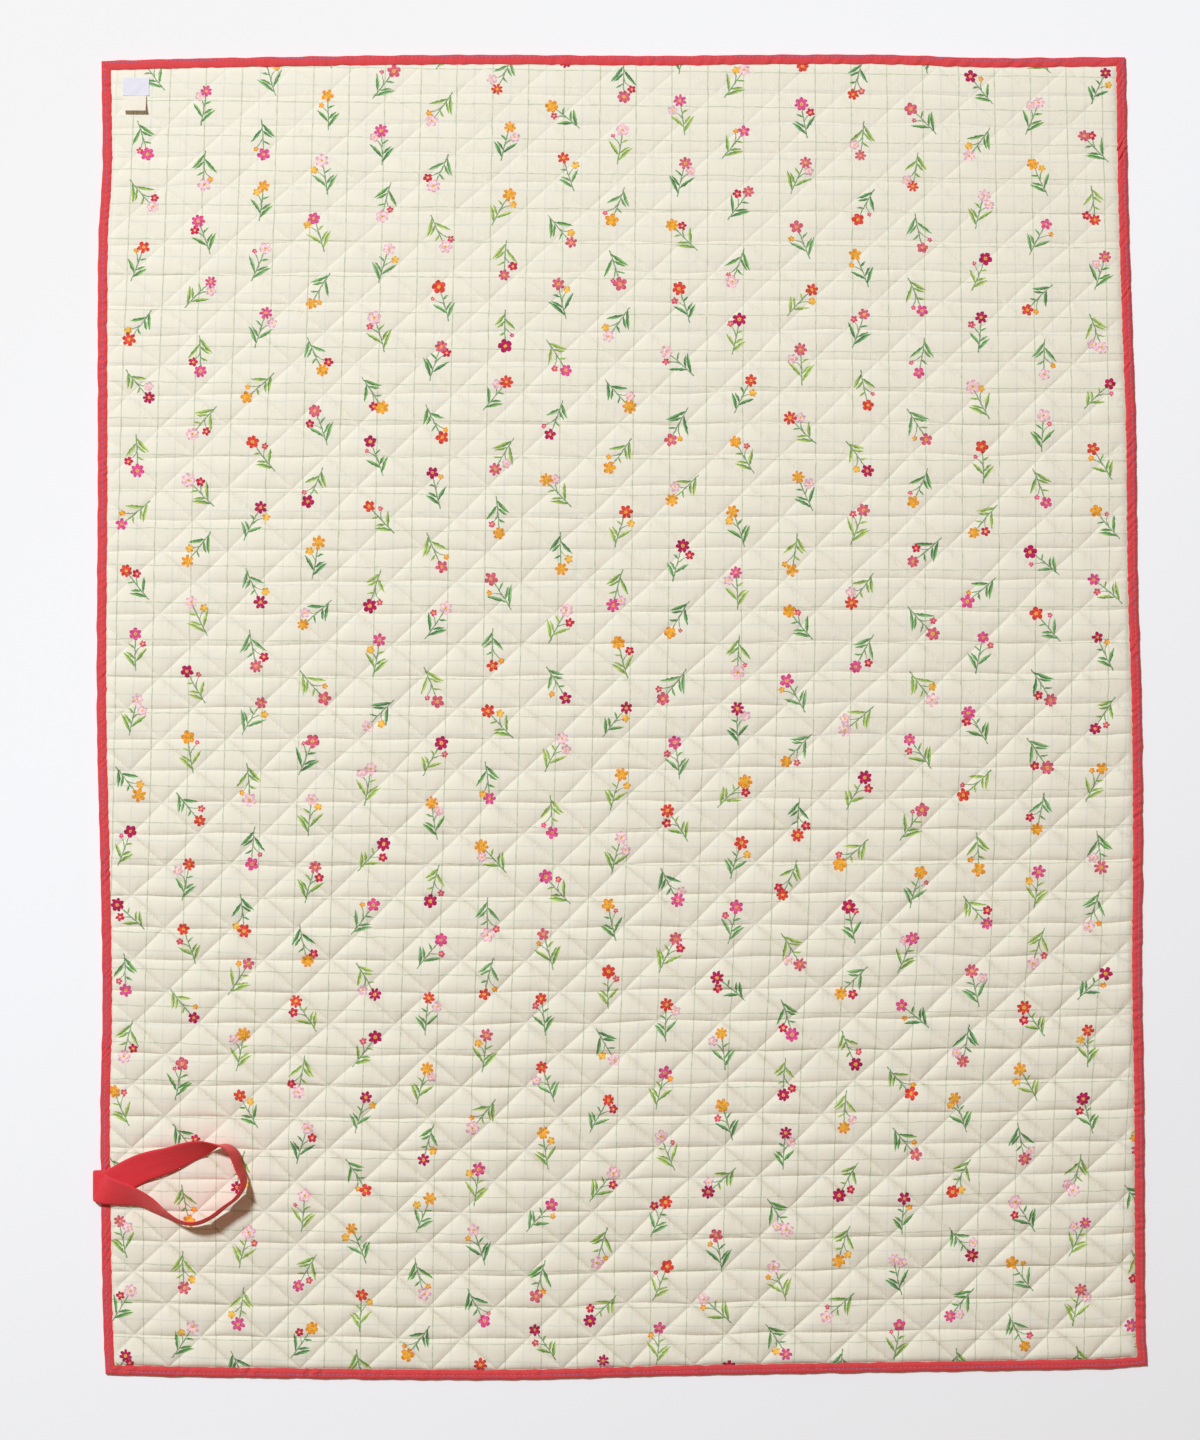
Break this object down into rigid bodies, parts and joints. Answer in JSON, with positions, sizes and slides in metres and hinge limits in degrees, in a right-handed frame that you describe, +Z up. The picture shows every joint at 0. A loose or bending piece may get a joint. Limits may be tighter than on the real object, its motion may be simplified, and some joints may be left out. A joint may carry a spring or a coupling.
{
  "type": "play quilt",
  "caption": "Flat padded play quilt sewn through in a lattice of triangles, with a folded edge binding and a webbing carry loop standing on its face.",
  "frame": {"origin": "centre of the whole object's outline, on the surface that it lies on", "axes": "+X across the quilt to the right, +Y along its length to the top edge, +Z up out of its printed face"},
  "size_m": [1.118, 1.405, 0.047],
  "materials": {
    "printed_cotton": "matt printed plain-weave cotton, padded",
    "red_cotton": "matt plain-weave cotton strip",
    "red_webbing": "matt ribbed cotton webbing",
    "white_satin": "smooth woven satin tape",
    "cream_tape": "matt woven tape"
  },
  "bodies": {
    "root": {"quilt_panel": "printed_cotton", "binding": "red_cotton", "carry_strap": "red_webbing", "white_label": "white_satin", "care_label": "cream_tape"}
  },
  "joints": []
}
